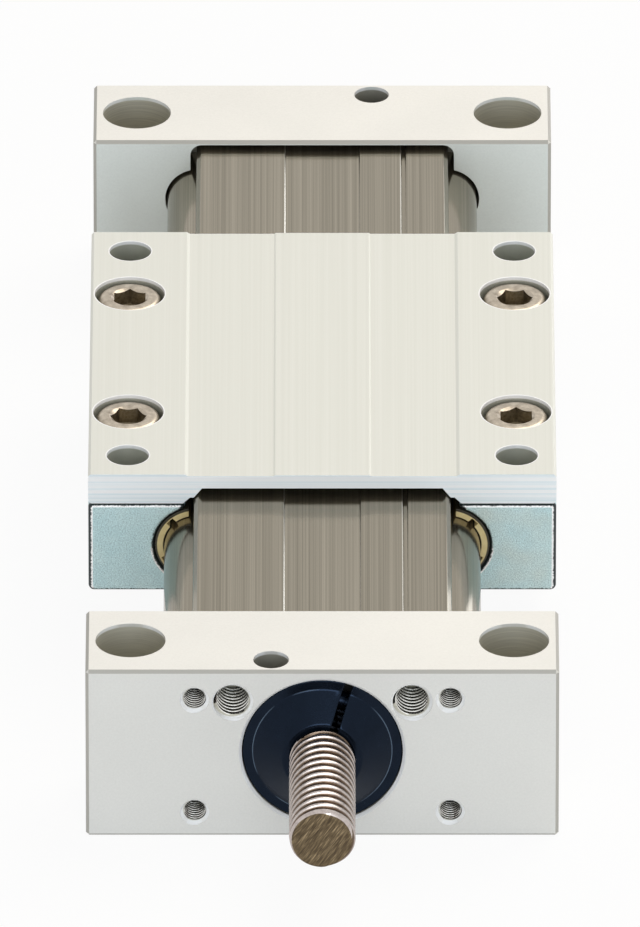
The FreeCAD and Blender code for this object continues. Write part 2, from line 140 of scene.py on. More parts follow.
def spots(tree, place, size_mm, stretch=(1, 1, 1), detail=3.0):
    """Noise around one half, of spots size_mm wide, each stretched by a factor along each axis."""
    shrink = [1 / s for s in stretch]
    squeezed = add(tree, "ShaderNodeVectorMath", {0: place, 1: shrink}, operation="MULTIPLY")
    return add(tree, "ShaderNodeTexNoise", {"Vector": squeezed, "Scale": 1 / (size_mm * MM),
                                            "Detail": detail, "Roughness": 0.65})


def sunk_in(tree, place, low, high):
    """Two masks: deeper than the skin inside a box, as walls of bores are, and off its outer edges."""
    offset = add(tree, "ShaderNodeVectorMath", {0: place, 1: (low + high) / 2}, operation="SUBTRACT")
    size = add(tree, "ShaderNodeVectorMath", {0: offset}, operation="ABSOLUTE")
    past = add(tree, "ShaderNodeVectorMath", {0: size, 1: (high - low) / 2}, operation="SUBTRACT")
    x, y, z = add(tree, "ShaderNodeSeparateXYZ", {0: past}, out=None)
    nearer = add(tree, "ShaderNodeMath", {0: x, 1: y}, operation="MAXIMUM")
    farther = add(tree, "ShaderNodeMath", {0: x, 1: y}, operation="MINIMUM")
    nearest = add(tree, "ShaderNodeMath", {0: nearer, 1: z}, operation="MAXIMUM")
    lower = add(tree, "ShaderNodeMath", {0: nearer, 1: z}, operation="MINIMUM")
    second = add(tree, "ShaderNodeMath", {0: lower, 1: farther}, operation="MAXIMUM")
    deep = -SKIN - SKIN_BLEND
    return [add(tree, "ShaderNodeMapRange", {"Value": depth, "From Min": deep, "From Max": -SKIN,
                                             "To Min": 1.0, "To Max": 0.0}) for depth in (nearest, second)]


def on_chamfer(tree):
    """One where the surface leans between two axes, as a chamfer does."""
    normal = add(tree, "ShaderNodeNewGeometry", {}, out="Normal")
    x, y, z = add(tree, "ShaderNodeSeparateXYZ", {0: normal}, out=None)
    largest = 0.0
    for a, b in ((x, y), (y, z), (z, x)):
        product = add(tree, "ShaderNodeMath", {0: a, 1: b}, operation="MULTIPLY")
        size = add(tree, "ShaderNodeMath", {0: product}, operation="ABSOLUTE")
        largest = add(tree, "ShaderNodeMath", {0: size, 1: largest}, operation="MAXIMUM")
    return add(tree, "ShaderNodeMapRange", {"Value": largest, "From Min": 0.3, "From Max": 0.45})


def from_axis(tree, place, height):
    """Distance from an axis along Y at a height."""
    spot = add(tree, "ShaderNodeSeparateXYZ", {0: place}, out=None)
    rise = add(tree, "ShaderNodeMath", {0: spot["Z"], 1: height}, operation="SUBTRACT")
    square = add(tree, "ShaderNodeMath", {0: spot["X"], 1: spot["X"]}, operation="MULTIPLY")
    both = add(tree, "ShaderNodeMath", {0: rise, 1: rise, 2: square}, operation="MULTIPLY_ADD")
    return add(tree, "ShaderNodeMath", {0: both}, operation="SQRT")


print("patterns ready")

# %% [markdown]
# ## Clear-anodised aluminium, matt
# The end blocks are milled, lightly blasted and anodised without dye. The clear oxide layer scatters
# light, so the metal looks almost like warm white paint with a soft sheen. A fine grain in colour and
# bump keeps it from looking like plastic. The faces across the rail are milled, and painted shade makes
# the outer one a shade greyer and the inner one bluer. The outer edges are painted grey and the rims of
# holes white, as painted shade and painted highlight. Bored walls are shinier and ringed by the tool,
# and painted darker as painted shade. The key hole over the clamp ring is drilled, and its wall is
# painted darker still, as painted shade. The grain of blasting is about 0.1 mm, and is drawn at 0.35 mm
# so that it shows.

# %% Finish of the end blocks
KEY_HOLE_SIDE = 15 * MM
KEY_HOLE_LOW = 25 * MM


def matt_anodised():
    material, tree, shader, place = start_material("aluminium_clear_anodised_matt", {})
    grain = spots(tree, place, 0.35)
    cloud = spots(tree, place, 30, detail=2.0)
    tone = add(tree, "ShaderNodeMix", {"Factor": 0.45, 2: grain, 3: cloud})
    skin = add(tree, "ShaderNodeValToRGB", {0: tone}, stops=[(0.35, "#ECEAE4"), (0.65, "#F4F2EC")])
    normal = add(tree, "ShaderNodeNewGeometry", {}, out="Normal")
    facing = add(tree, "ShaderNodeSeparateXYZ", {0: normal}, out="Y")
    across = add(tree, "ShaderNodeMath", {0: facing, 1: 8.0}, operation="POWER")
    along = add(tree, "ShaderNodeSeparateXYZ", {0: place}, out="Y")
    outward = add(tree, "ShaderNodeMath", {0: facing, 1: along}, operation="MULTIPLY")
    outer = add(tree, "ShaderNodeMapRange", {"Value": outward, "From Max": MM})
    # Painted shade: the faces across the rail are tinted by the way they face, the outer one greyer and the
    # inner one bluer.
    milled_painted_light = add(tree, "ShaderNodeMix", {"Factor": outer, 6: "#F6FDFF", 7: "#EBECED"}, **COLOUR)
    faces = add(tree, "ShaderNodeMix", {"Factor": across, 6: skin, 7: milled_painted_light}, **COLOUR,
                blend_type="MULTIPLY")
    both_ends = add(tree, "ShaderNodeVectorMath", {0: place}, operation="ABSOLUTE")
    bored, off_edges = sunk_in(tree, both_ends, *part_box("rear_end_block"))
    # Painted shade and highlight: outer edges are painted grey and the rims of holes white.
    cut = add(tree, "ShaderNodeMix", {"Factor": off_edges, 6: "#B4B2AB", 7: "#FCFDFD"}, **COLOUR)
    with_painted_edges = add(tree, "ShaderNodeMix", {"Factor": on_chamfer(tree), 6: faces, 7: cut}, **COLOUR)
    # The tool rings on bore walls are real; their darker colour is painted shade.
    turned = spots(tree, place, 0.2, stretch=(60, 60, 1))
    clean = add(tree, "ShaderNodeValToRGB", {0: turned}, stops=[(0.35, "#BAB7AA"), (0.65, "#CBC8B9")])
    # Painted shade: the wall of the key hole is painted darker still.
    spot = add(tree, "ShaderNodeSeparateXYZ", {0: both_ends}, out=None)
    inside = add(tree, "ShaderNodeMath", {0: spot["X"], 1: KEY_HOLE_SIDE}, operation="LESS_THAN")
    above = add(tree, "ShaderNodeMath", {0: spot["Z"], 1: KEY_HOLE_LOW}, operation="GREATER_THAN")
    painted_dark = add(tree, "ShaderNodeMath", {0: inside, 1: above}, operation="MULTIPLY")
    wall = add(tree, "ShaderNodeMix", {"Factor": painted_dark, 6: clean, 7: "#A3A196"}, **COLOUR)
    fill(tree, shader, {
        "Base Color": add(tree, "ShaderNodeMix", {"Factor": bored, 6: with_painted_edges, 7: wall}, **COLOUR),
        "Metallic": add(tree, "ShaderNodeMapRange", {"Value": bored, "To Min": 0.2, "To Max": 0.35}),
        "Roughness": add(tree, "ShaderNodeMapRange", {"Value": cloud, "To Min": 0.4, "To Max": 0.6}),
        "Normal": add(tree, "ShaderNodeBump", {"Height": grain, "Distance": 0.01 * MM, "Strength": 0.5})})
    return material


ANODISED_BLOCK = matt_anodised()
print(ANODISED_BLOCK.name)

# %% [markdown]
# ## Clear-anodised aluminium, drawn and milled
# The carriage plate is cut from a drawn bar. Its top keeps hair-fine lengthwise lines, and its two
# milled ends carry the level marks of the cutter and are painted bluer and paler, as painted light.
# Points within a hair of the bar's ends belong to the milled faces. A thin white ring round each hole
# is a painted highlight, and the walls of bores are painted darker, as painted shade. The holes lie
# alike in all four corners, so the distance from one hole of each kind tells where the rings are.

# %% Finish of the carriage plate
PLATE_LOAD = MOUNTS["carriage_mount"]
PLATE_MIDDLE = Vector((0, PLATE_LOAD["pos_m"][1], 0))
HEAD_BORE_R = 5.6 * MM
RIM_WIDTH = 0.1 * MM
RIM_BLEND = 0.15 * MM
END_SKIN = 0.05 * MM
CORNER_SCREW = sum(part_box("plate_screw_rear_right"), Vector()) / 2 - PLATE_MIDDLE
PLATE_HOLES = [(PLATE_LOAD["dims"]["spacing_x_mm"] * MM / 2, PLATE_LOAD["dims"]["spacing_y_mm"] * MM / 2,
                PLATE_LOAD["dims"]["hole_r_mm"] * MM), (CORNER_SCREW.x, CORNER_SCREW.y, HEAD_BORE_R)]


def painted_rim_highlights(tree, place, holes):
    """One on a painted highlight ring round each hole; each hole is an (x, y, radius) of the corner at the
    rear right.
    """
    offset = add(tree, "ShaderNodeVectorMath", {0: place, 1: PLATE_MIDDLE}, operation="SUBTRACT")
    corner = add(tree, "ShaderNodeVectorMath", {0: offset}, operation="ABSOLUTE")
    rims = 0.0
    for x, y, radius in holes:
        away = add(tree, "ShaderNodeVectorMath", {0: corner, 1: (x, y, 0)}, operation="SUBTRACT")
        level = add(tree, "ShaderNodeVectorMath", {0: away, 1: (1, 1, 0)}, operation="MULTIPLY")
        distance = add(tree, "ShaderNodeVectorMath", {0: level}, out="Value", operation="LENGTH")
        outer = radius + RIM_WIDTH
        rim = add(tree, "ShaderNodeMapRange", {"Value": distance, "From Min": outer,
                                               "From Max": outer + RIM_BLEND, "To Min": 1.0, "To Max": 0.0})
        rims = add(tree, "ShaderNodeMath", {0: rim, 1: rims}, operation="MAXIMUM")
    return rims


def drawn_anodised(name, node, drawn_stops, milled_stops, bored_colour, holes=()):
    low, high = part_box(node)
    material, tree, shader, place = start_material(name, {})
    streak = spots(tree, place, 0.5, stretch=(1, 400, 400), detail=4.0)
    marks = spots(tree, place, 0.42, stretch=(600, 1, 1), detail=4.0)
    along = add(tree, "ShaderNodeSeparateXYZ", {0: place}, out="Y")
    offset = add(tree, "ShaderNodeMath", {0: along, 1: (low.y + high.y) / 2}, operation="SUBTRACT")
    size = add(tree, "ShaderNodeMath", {0: offset}, operation="ABSOLUTE")
    half = (high.y - low.y) / 2 - END_SKIN
    is_end = add(tree, "ShaderNodeMath", {0: size, 1: half}, operation="GREATER_THAN")
    drawn = add(tree, "ShaderNodeValToRGB", {0: streak}, stops=drawn_stops)
    # Painted light: the milled ends are painted bluer and paler than the top; their level marks are real.
    milled_painted_light = add(tree, "ShaderNodeValToRGB", {0: marks}, stops=milled_stops)
    outside = add(tree, "ShaderNodeMix", {"Factor": is_end, 6: drawn, 7: milled_painted_light}, **COLOUR)
    # Painted highlight: a thin white ring round each hole.
    rims = painted_rim_highlights(tree, place, holes)
    with_rim_highlights = add(tree, "ShaderNodeMix", {"Factor": rims, 6: outside, 7: "#FFFFFF"}, **COLOUR)
    # Painted shade: the walls of bores are painted darker.
    bored = sunk_in(tree, place, low, high)[0]
    shine = add(tree, "ShaderNodeMapRange", {"Value": bored, "To Min": 0.2, "To Max": 0.5})
    height = add(tree, "ShaderNodeMix", {"Factor": is_end, 2: streak, 3: marks})
    fill(tree, shader, {
        "Base Color": add(tree, "ShaderNodeMix", {"Factor": bored, 6: with_rim_highlights, 7: bored_colour}, **COLOUR),
        "Metallic": add(tree, "ShaderNodeMix", {"Factor": is_end, 2: shine, 3: 0.0}),
        "Roughness": add(tree, "ShaderNodeMapRange", {"Value": streak, "To Min": 0.35, "To Max": 0.55}),
        "Normal": add(tree, "ShaderNodeBump", {"Height": height, "Distance": 0.008 * MM, "Strength": 0.15})})
    return material


ANODISED_PLATE = drawn_anodised("aluminium_clear_anodised_drawn", "carriage_plate",
                                [(0.35, "#E2E2D9"), (0.65, "#E7E7DF")],
                                [(0.36, "#E0EDF3"), (0.5, "#F8FDFF"), (0.64, "#FFFFFF")], "#C6C7BB",
                                PLATE_HOLES)
ANODISED_CARRIER = drawn_anodised("aluminium_clear_anodised_milled", "nut_carrier",
                                  [(0.35, "#D4D4D0"), (0.65, "#DEDEDA")],
                                  [(0.35, "#CFD5DB"), (0.65, "#E6EAEE")], "#B9B9B4")
print(ANODISED_PLATE.name, ANODISED_CARRIER.name)

# %% [markdown]
# ## Hard-anodised aluminium
# The rail is an extrusion with a thick, hard oxide layer that turns it taupe. The layer follows the
# lines that the die left, so light and dark streaks run the whole length, some as fine as a hair and
# some a few millimetres wide. The layer is ground smooth, so it mirrors the plate's end and the dark
# gap above it. Along the left step of the middle band and beside the reference groove, a thin bright
# line on the edge is a painted highlight.

# %% Finish of the guide rail
PAINTED_EDGE_HIGHLIGHTS = {-6.0 * MM: 0.85, 12.66 * MM: 0.6}  # place across the rail, and how bright
EDGE_HIGHLIGHT_FULL = 0.06 * MM
EDGE_HIGHLIGHT_END = 0.14 * MM


def hard_anodised():
    material, tree, shader, place = start_material("aluminium_hard_anodised_extruded", {"Metallic": 0.92})
    hair = spots(tree, place, 0.25, stretch=(1, 1100, 1100), detail=4.0)
    band = spots(tree, place, 3.0, stretch=(1, 300, 300))
    tone = add(tree, "ShaderNodeMix", {"Factor": 0.3, 2: hair, 3: band})
    film = add(tree, "ShaderNodeValToRGB", {0: tone}, stops=[(0.36, "#7D7667"), (0.64, "#A19989")])
    across = add(tree, "ShaderNodeSeparateXYZ", {0: place}, out="X")
    # Painted highlight: a thin bright line along two edges of the rail.
    painted_highlight = 0.0
    for edge, strength in PAINTED_EDGE_HIGHLIGHTS.items():
        off_edge = add(tree, "ShaderNodeMath", {0: across, 1: edge}, operation="SUBTRACT")
        distance = add(tree, "ShaderNodeMath", {0: off_edge}, operation="ABSOLUTE")
        line = add(tree, "ShaderNodeMapRange", {"Value": distance, "From Min": EDGE_HIGHLIGHT_FULL, "From Max": EDGE_HIGHLIGHT_END,
                                                "To Min": strength, "To Max": 0.0})
        painted_highlight = add(tree, "ShaderNodeMath", {0: line, 1: painted_highlight}, operation="MAXIMUM")
    fill(tree, shader, {
        "Base Color": add(tree, "ShaderNodeMix", {"Factor": painted_highlight, 6: film, 7: "#EDE9DF"}, **COLOUR),
        "Roughness": add(tree, "ShaderNodeMapRange", {"Value": hair, "To Min": 0.1, "To Max": 0.22}),
        "Normal": add(tree, "ShaderNodeBump", {"Height": hair, "Distance": 0.012 * MM, "Strength": 0.2})})
    return material


HARD_ANODISED = hard_anodised()
print(HARD_ANODISED.name)

# %% [markdown]
# ## Chromated zinc
# The bearing housings are die castings with a thin chromate film, which shows pale blue to green with
# faint clouds of yellow. The cast skin is finely pitted, like very fine sandpaper, with pits about 0.2
# mm across. The rounded edges carry a speckled dark band of painted shade, and the upper and outer ones
# a white line of painted highlight next to the face. How far the surface turns away from the rail's
# direction tells where on the edge a point is. The yellow clouds are mirrored, so that they lie on the
# right.

# %% Finish of the bearing housings
EDGE_AT_FACE = 0.992  # share of the surface's direction that lies along the rail, where the face ends
EDGE_AT_SIDE = 0.06
DARK_BELOW = 0.86
LIGHT_ABOVE = 0.94


def chromated_zinc():
    material, tree, shader, place = start_material("zinc_die_cast_blue_chromate", {"Metallic": 0.5})
    cloud = spots(tree, place, 6.0, detail=4.0)
    warm = spots(tree, place, 11.0, stretch=(-1, 1, 1), detail=2.0)
    pits = spots(tree, place, 0.22)
    blue = add(tree, "ShaderNodeValToRGB", {0: cloud}, stops=[(0.35, "#CAE6E9"), (0.65, "#D8F0F1")])
    yellow = add(tree, "ShaderNodeMapRange", {"Value": warm, "From Min": 0.54, "From Max": 0.72,
                                              "To Max": 0.36})
    film = add(tree, "ShaderNodeMix", {"Factor": yellow, 6: blue, 7: "#DCD6C4"}, **COLOUR)
    specks = add(tree, "ShaderNodeMapRange", {"Value": pits, "From Min": 0.3, "From Max": 0.6, "To Min": 0.75,
                                              "To Max": 0.0})
    skin = add(tree, "ShaderNodeMix", {"Factor": specks, 6: film, 7: "#86A0A4"}, **COLOUR)
    # Painted shade and highlight: a speckled dark band on the rounded edges, and a white line on the upper
    # and outer ones next to the face.
    normal = add(tree, "ShaderNodeNewGeometry", {}, out="Normal")
    lean = add(tree, "ShaderNodeSeparateXYZ", {0: normal}, out=None)
    facing = add(tree, "ShaderNodeMath", {0: lean["Y"]}, operation="ABSOLUTE")
    across = add(tree, "ShaderNodeSeparateXYZ", {0: place}, out="X")
    side = add(tree, "ShaderNodeMath", {0: across}, operation="SIGN")
    outward = add(tree, "ShaderNodeMath", {0: side, 1: lean["X"]}, operation="MULTIPLY")
    free = add(tree, "ShaderNodeMath", {0: outward, 1: lean["Z"]}, operation="MAXIMUM")
    painted_highlight = add(tree, "ShaderNodeMath", {0: free, 1: 0.02}, operation="GREATER_THAN")
    light = add(tree, "ShaderNodeMix", {"Factor": painted_highlight, 6: skin, 7: "#FFFFFF"}, **COLOUR)
    jitter = add(tree, "ShaderNodeMath", {0: pits, 1: 0.45, 2: -0.22}, operation="MULTIPLY_ADD")
    turned = add(tree, "ShaderNodeMath", {0: facing, 1: jitter}, operation="ADD")
    share = add(tree, "ShaderNodeMapRange", {"Value": turned, "From Min": DARK_BELOW,
                                             "From Max": LIGHT_ABOVE})
    painted_shading = add(tree, "ShaderNodeMix", {"Factor": share, 6: "#283031", 7: light}, **COLOUR)
    inner = add(tree, "ShaderNodeMath", {0: facing, 1: EDGE_AT_FACE}, operation="LESS_THAN")
    outer = add(tree, "ShaderNodeMath", {0: facing, 1: EDGE_AT_SIDE}, operation="GREATER_THAN")
    on_edge = add(tree, "ShaderNodeMath", {0: inner, 1: outer}, operation="MULTIPLY")
    fill(tree, shader, {
        "Base Color": add(tree, "ShaderNodeMix", {"Factor": on_edge, 6: skin, 7: painted_shading}, **COLOUR),
        "Roughness": add(tree, "ShaderNodeMapRange", {"Value": pits, "To Min": 0.55, "To Max": 0.3}),
        "Normal": add(tree, "ShaderNodeBump", {"Height": pits, "Distance": 0.12 * MM, "Strength": 0.9})})
    return material


CHROMATED_ZINC = chromated_zinc()
print(CHROMATED_ZINC.name)

# %% [markdown]
# ## Blackened steel
# The clamp rings are turned from steel and black-oxided. The film is blue-black and slightly oily, so
# almost all its light is a dim blue mirror image, which grows bright only where the rim curves out of
# sight. Along the turned corner between face and rim, a thin bright line in patches is a painted
# highlight.

# %% Finish of the clamp rings
SCREW_LOW, SCREW_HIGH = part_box("lead_screw")
AXIS_Z = (SCREW_LOW.z + SCREW_HIGH.z) / 2
RING_CORNER = 10.9 * MM
CORNER_FULL = 0.04 * MM
CORNER_END = 0.1 * MM


def blackened_steel():
    material, tree, shader, place = start_material("steel_black_oxide_turned", {
        "Specular IOR Level": 0.24, "Specular Tint": "#AACBFF"})
    cloud = spots(tree, place, 2.5)
    grain = spots(tree, place, 0.2, detail=2.0)
    film = add(tree, "ShaderNodeValToRGB", {0: cloud}, stops=[(0.3, "#05080D"), (0.7, "#0A1018")])
    # Painted highlight: a thin bright line in patches along the corner between face and rim.
    radius = from_axis(tree, place, AXIS_Z)
    off_corner = add(tree, "ShaderNodeMath", {0: radius, 1: RING_CORNER}, operation="SUBTRACT")
    distance = add(tree, "ShaderNodeMath", {0: off_corner}, operation="ABSOLUTE")
    painted_highlight = add(tree, "ShaderNodeMapRange", {"Value": distance, "From Min": CORNER_FULL,
                                              "From Max": CORNER_END, "To Min": 0.4, "To Max": 0.0})
    patch_noise = spots(tree, place, 7.0, detail=1.0)
    highlight_patches = add(tree, "ShaderNodeMapRange", {"Value": patch_noise, "From Min": 0.45, "From Max": 0.6})
    bare = add(tree, "ShaderNodeMath", {0: painted_highlight, 1: highlight_patches}, operation="MULTIPLY")
    fill(tree, shader, {
        "Base Color": add(tree, "ShaderNodeMix", {"Factor": bare, 6: film, 7: "#8396AA"}, **COLOUR),
        "Roughness": add(tree, "ShaderNodeMapRange", {"Value": grain, "To Min": 0.1, "To Max": 0.26}),
        "Normal": add(tree, "ShaderNodeBump", {"Height": grain, "Distance": 0.003 * MM, "Strength": 0.25})})
    return material


BLACKENED = blackened_steel()
print(BLACKENED.name)

# %% [markdown]
# ## Stainless steel screws
# The cap screws are cold-headed stainless steel with a warm grey sheen. Handling and the heading die
# leave faint scratches and cloudy patches. A metal keeps the default index of refraction, because its
# colour does the work.

# %% Finish of the cap screws
def stainless():
    material, tree, shader, place = start_material("stainless_steel_cold_headed", {"Metallic": 1.0})
    cloud = spots(tree, place, 1.2, detail=4.0)
    scratch = spots(tree, place, 0.15, stretch=(8, 1, 1), detail=2.0)
    fill(tree, shader, {
        "Base Color": add(tree, "ShaderNodeValToRGB", {0: cloud}, stops=[(0.3, "#958A7B"), (0.7, "#C6BBAA")]),
        "Roughness": add(tree, "ShaderNodeMapRange", {"Value": scratch, "To Min": 0.2, "To Max": 0.46}),
        "Normal": add(tree, "ShaderNodeBump", {"Height": scratch, "Distance": 0.006 * MM, "Strength": 0.5})})
    return material


STAINLESS = stainless()
print(STAINLESS.name)

# %% [markdown]
# ## Rolled screw steel
# A rolled trapezoidal thread. On the free end its slightly pink crests are painted bright, as painted
# highlight, and its flanks and grooves a darker brown, as painted shade; the thinner thread behind is
# all of that brown. The distance from the axis tells one from the other. Inside the clamp rings the
# thread is painted black, as painted shade. The sawn tip is brown with saw marks, and its chamfered rim
# is painted bright, as painted highlight.

# %% Finish of the lead screw
THREAD_DEPTH = 1.25 * MM
SCREW_R = 5.0 * MM
TIP_CHAMFER = 0.45 * MM
TIP_SKIN = 0.03 * MM
CREST_LIGHT_START = 0.3 * MM
CREST_LIGHT_FULL = 0.12 * MM
RING_MOUTH = 0.8 * MM
SAW_ANGLE = math.radians(-35)
DRIVE_R = MOUNTS["drive_end"]["dims"]["r_mm"] * MM


def rolled_screw():
    material, tree, shader, place = start_material("stainless_steel_rolled_thread", {"Metallic": 1.0})
    wear = spots(tree, place, 0.8, detail=4.0)
    along = add(tree, "ShaderNodeSeparateXYZ", {0: place}, out="Y")
    radius = from_axis(tree, place, 0.0)
    # Painted highlight and shade: crests of the free end and the tip's chamfered rim are bright, flanks and
    # grooves darker brown.
    top = add(tree, "ShaderNodeMapRange", {"Value": radius, "From Min": DRIVE_R - CREST_LIGHT_START,
                                           "From Max": DRIVE_R - CREST_LIGHT_FULL})
    rim = add(tree, "ShaderNodeMath", {0: along, 1: SCREW_LOW.y + TIP_CHAMFER}, operation="LESS_THAN")
    crest = add(tree, "ShaderNodeMath", {0: top, 1: rim}, operation="MAXIMUM")
    groove = add(tree, "ShaderNodeValToRGB", {0: wear}, stops=[(0.3, "#5C4D40"), (0.7, "#796858")])
    bright = add(tree, "ShaderNodeValToRGB", {0: wear}, stops=[(0.3, "#ADA29D"), (0.7, "#CBC1BC")])
    thread = add(tree, "ShaderNodeMix", {"Factor": crest, 6: groove, 7: bright}, **COLOUR)
    # Painted shade: inside the clamp rings the thread is painted black.
    for end in ENDS:
        low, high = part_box(end + "_clamp_ring")
        off_ring = add(tree, "ShaderNodeMath", {0: along, 1: (low.y + high.y) / 2}, operation="SUBTRACT")
        distance = add(tree, "ShaderNodeMath", {0: off_ring}, operation="ABSOLUTE")
        inside = (high.y - low.y) / 2 - RING_MOUTH
        ring_shade = add(tree, "ShaderNodeMath", {0: distance, 1: inside}, operation="LESS_THAN")
        thread = add(tree, "ShaderNodeMix", {"Factor": ring_shade, 6: thread, 7: "#14161A"}, **COLOUR)
    slant = add(tree, "ShaderNodeVectorRotate", {"Vector": place, "Angle": SAW_ANGLE}, rotation_type="Y_AXIS")
    saw = spots(tree, slant, 0.12, stretch=(1, 1, 18), detail=4.0)
    sawn = add(tree, "ShaderNodeValToRGB", {0: saw},
               stops=[(0.3, "#372D25"), (0.52, "#695B46"), (0.7, "#AD9A7B")])
    is_tip = add(tree, "ShaderNodeMath", {0: along, 1: SCREW_LOW.y + TIP_SKIN}, operation="LESS_THAN")
    height = add(tree, "ShaderNodeMix", {"Factor": is_tip, 2: wear, 3: saw})
    fill(tree, shader, {
        "Base Color": add(tree, "ShaderNodeMix", {"Factor": is_tip, 6: thread, 7: sawn}, **COLOUR),
        "Roughness": add(tree, "ShaderNodeMapRange", {"Value": wear, "To Min": 0.14, "To Max": 0.34}),
        "Normal": add(tree, "ShaderNodeBump", {"Height": height, "Distance": 0.008 * MM, "Strength": 0.25})})
    return material


ROLLED_SCREW = rolled_screw()
print(ROLLED_SCREW.name)

# %% [markdown]
# ## Moulded polymers
# The liners are a yellow-beige glide polymer, and so are the bushes. The nut is turned from a paler
# one. Light goes a little way into such plastic, so a touch of subsurface scattering keeps it from
# looking painted. The liners' running surfaces and the seam to the housing are painted dark as painted
# shade, and the end faces keep their own colour. The shaded places are found by the distance from the
# middle of the rail's round edge.

# %% Finishes of liners, bushes and nut
ROUND_X = 20.0 * MM
LINER_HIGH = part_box("glide_liner_front_right")[1]
LINER_R = LINER_HIGH.x - ROUND_X
ROUND_Z = LINER_HIGH.z - LINER_R
LINER_WALL = 1.4 * MM
RUN_R = LINER_R - LINER_WALL
SEAM_START = 0.4 * MM
SEAM_FULL = 0.3 * MM
RUN_SHADE_FULL = 0.05 * MM
RUN_SHADE_END = 0.2 * MM


def liner_painted_shade(tree, place):
    """One on a liner's running surface and at the seam round it."""
    x, y, z = add(tree, "ShaderNodeSeparateXYZ", {0: place}, out=None)
    side = add(tree, "ShaderNodeMath", {0: x}, operation="ABSOLUTE")
    shifted = add(tree, "ShaderNodeMath", {0: side, 1: ROUND_X}, operation="SUBTRACT")
    moved = add(tree, "ShaderNodeCombineXYZ", {"X": shifted, "Y": y, "Z": z})
    radius = from_axis(tree, moved, ROUND_Z)
    seam = add(tree, "ShaderNodeMapRange", {"Value": radius, "From Min": LINER_R - SEAM_START,
                                            "From Max": LINER_R - SEAM_FULL})
    run = add(tree, "ShaderNodeMapRange", {"Value": radius, "From Min": RUN_R + RUN_SHADE_FULL,
                                           "From Max": RUN_R + RUN_SHADE_END, "To Min": 1.0, "To Max": 0.0})
    return add(tree, "ShaderNodeMath", {0: seam, 1: run}, operation="MAXIMUM")


def glide_polymer(name, stops, with_painted_shade=False):
    material, tree, shader, place = start_material(name, {
        "IOR": 1.5, "Subsurface Weight": 0.1, "Subsurface Radius": (1.0 * MM, 0.8 * MM, 0.4 * MM)})
    cloud = spots(tree, place, 2.0, detail=4.0)
    grain = spots(tree, place, 0.3)
    clean = add(tree, "ShaderNodeValToRGB", {0: cloud}, stops=stops)
    # Painted shade: the liners' running surfaces and the seam to the housing are painted dark.
    stain = liner_painted_shade(tree, place) if with_painted_shade else 0.0
    fill(tree, shader, {
        "Base Color": add(tree, "ShaderNodeMix", {"Factor": stain, 6: clean, 7: "#332E20"}, **COLOUR),
        "Roughness": add(tree, "ShaderNodeMapRange", {"Value": cloud, "To Min": 0.3, "To Max": 0.6}),
        "Normal": add(tree, "ShaderNodeBump", {"Height": grain, "Distance": 0.01 * MM, "Strength": 0.4})})
    return material


LINER_STOPS = [(0.3, "#DCC68C"), (0.7, "#ECDAA4")]
LINER_POLYMER = glide_polymer("polymer_moulded_yellow_beige_worn", LINER_STOPS, with_painted_shade=True)
BUSH_POLYMER = glide_polymer("polymer_moulded_yellow_beige", LINER_STOPS)
NUT_POLYMER = glide_polymer("polymer_turned_cream", [(0.3, "#C6B88E"), (0.7, "#D8CDA8")])
print(LINER_POLYMER.name, BUSH_POLYMER.name, NUT_POLYMER.name)

# %% [markdown]
# ## Bare metal and painted shade
# Threads are tapped after anodising, so inside the tapped holes the metal is bare and the crests are
# bright. The roots are painted dark, as painted shade. This contrast gives the light and dark arcs that
# make a thread readable. The sockets of the cap screws are painted dark in the same way, as painted
# shade, which makes them look deep.

# %% Finishes of tapped holes and sockets
def bare_metal(name, stops, roughness):
    material, tree, shader, place = start_material(name, {"Metallic": 1.0})
    smear = spots(tree, place, 0.5)
    fill(tree, shader, {
        "Base Color": add(tree, "ShaderNodeValToRGB", {0: smear}, stops=stops),
        "Roughness": add(tree, "ShaderNodeMapRange", {"Value": smear, "To Min": roughness - 0.1,
                                                      "To Max": roughness + 0.1})})
    return material


BARE_CREST = bare_metal("aluminium_bare_tapped", [(0.3, "#C9C8C2"), (0.7, "#F2F1EC")], 0.25)
# Painted shade: the roots of the tapped threads are painted dark.
ROOT_SHADE = bare_metal("aluminium_bare_oiled", [(0.3, "#141312"), (0.7, "#302F2B")], 0.4)
# Painted shade: the sockets of the cap screws are painted dark.
SOCKET_SHADE = bare_metal("stainless_steel_oiled_socket", [(0.3, "#857B69"), (0.7, "#B4AA96")], 0.35)
print(BARE_CREST.name, ROOT_SHADE.name, SOCKET_SHADE.name)

# %% [markdown]
# ## Dressing the solids
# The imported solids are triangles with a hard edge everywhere. Welding joins them, flat triangles are
# dissolved to clean faces, a small bevel breaks each sharp edge as a deburring tool does, and weighted
# normals keep the flats flat. These are modifiers, so the solids themselves stay as they are.

# %% Modifiers and materials on the solids
WELD_GAP = 0.001 * MM
FLAT_ANGLE = math.radians(0.5)


def dress(node, material, edge_mm, clamp=True, sharp_deg=32):
    """Deburred edges and a finish on a CAD node."""
    piece = NODES[node]
    piece.data.materials.clear()
    piece.data.materials.append(material)
    weld = piece.modifiers.new("weld", "WELD")
    weld.merge_threshold = WELD_GAP
    flats = piece.modifiers.new("flats", "DECIMATE")
    flats.decimate_type = "DISSOLVE"
    flats.angle_limit = FLAT_ANGLE
    edge = piece.modifiers.new("deburr", "BEVEL")
    edge.width = edge_mm * MM
    edge.segments = 3
    edge.limit_method = "ANGLE"
    edge.angle_limit = math.radians(sharp_deg)
    edge.use_clamp_overlap = clamp
    piece.modifiers.new("shading", "WEIGHTED_NORMAL").keep_sharp = True
    piece.data.polygons.foreach_set("use_smooth", [True] * len(piece.data.polygons))


